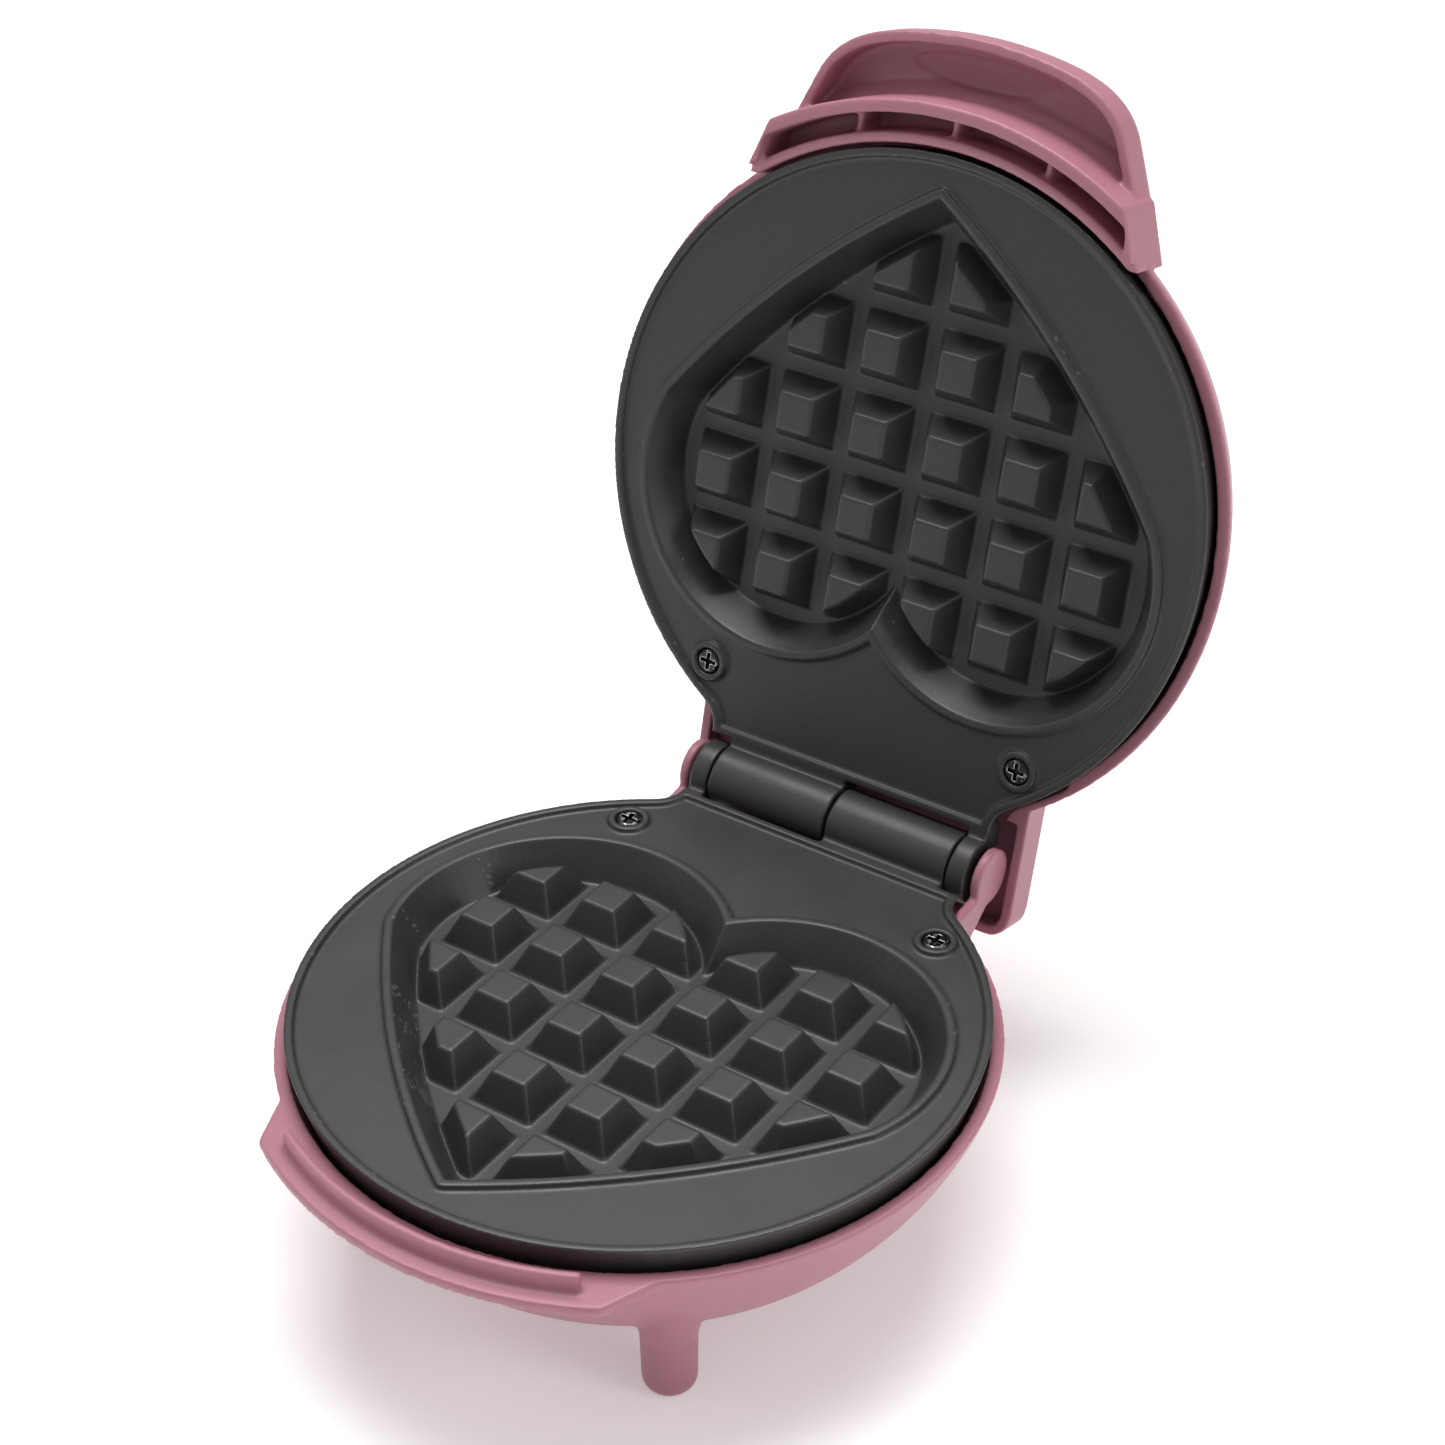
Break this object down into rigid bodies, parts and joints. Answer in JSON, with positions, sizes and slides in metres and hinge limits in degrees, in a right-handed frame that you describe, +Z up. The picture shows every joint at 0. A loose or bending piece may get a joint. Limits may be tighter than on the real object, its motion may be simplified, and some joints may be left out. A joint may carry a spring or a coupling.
{
  "type": "waffle maker",
  "caption": "Small round waffle maker standing open, with heart-shaped non-stick plates, a hinged lid with a scooped front handle and short peg feet.",
  "frame": {"origin": "on the floor under the middle of the open appliance's outline", "axes": "+X to the appliance's right, +Y from the front handle side towards the hinge and the open lid, +Z up; both halves are symmetrical about X0 apart from the hinge barrels"},
  "size_m": [0.126, 0.1868, 0.1812],
  "materials": {
    "housing_pink": "satin moulded pink plastic",
    "cast_plate": "cast aluminium with black non-stick coating",
    "heater_sheath": "bare tube",
    "steel": "zinc plated",
    "reflector_sheet": "bright sheet",
    "dark_screw": "blackened",
    "ceramic": "glazed ceramic",
    "sleeve": "woven glass sleeve",
    "brass_screw": "plain",
    "black_plastic": "moulded",
    "rubber": "matt",
    "lens": "clear red",
    "bulb": "clear"
  },
  "bodies": {
    "base": {"base_housing": "housing_pink", "base_plate": "cast_plate", "base_heater": "heater_sheath", "base_heater_pins": "steel", "base_heater_retainer": "steel", "base_reflector": "reflector_sheet", "base_reflector_screw": "steel", "base_plate_screws": "dark_screw", "thermostat": "ceramic", "thermostat_screws": "steel", "thermal_fuse": "steel", "fuse_sleeve": "sleeve", "fuse_strap": "steel", "fuse_strap_screw": "steel", "terminal_block": "ceramic", "terminal_screws": "brass_screw", "cord_clamp": "black_plastic", "cord_clamp_screws": "steel", "cord_gland": "rubber", "hinge_pin": "steel"},
    "lid": {"lid_housing": "housing_pink", "lid_plate": "cast_plate", "lid_heater": "heater_sheath", "lid_heater_pins": "steel", "lid_heater_retainer": "steel", "lid_reflector": "reflector_sheet", "lid_reflector_screw": "steel", "lid_plate_screws": "dark_screw", "lamp_lens": "lens", "lamp_holder": "black_plastic", "lamp_bulb": "bulb"}
  },
  "joints": [
    {"name": "lid_hinge", "type": "hinge", "parent": "base", "child": "lid", "pos_m": [0, 0.03993, 0.0417], "axis": [1, 0, 0], "range_deg": [0, 104]}
  ]
}
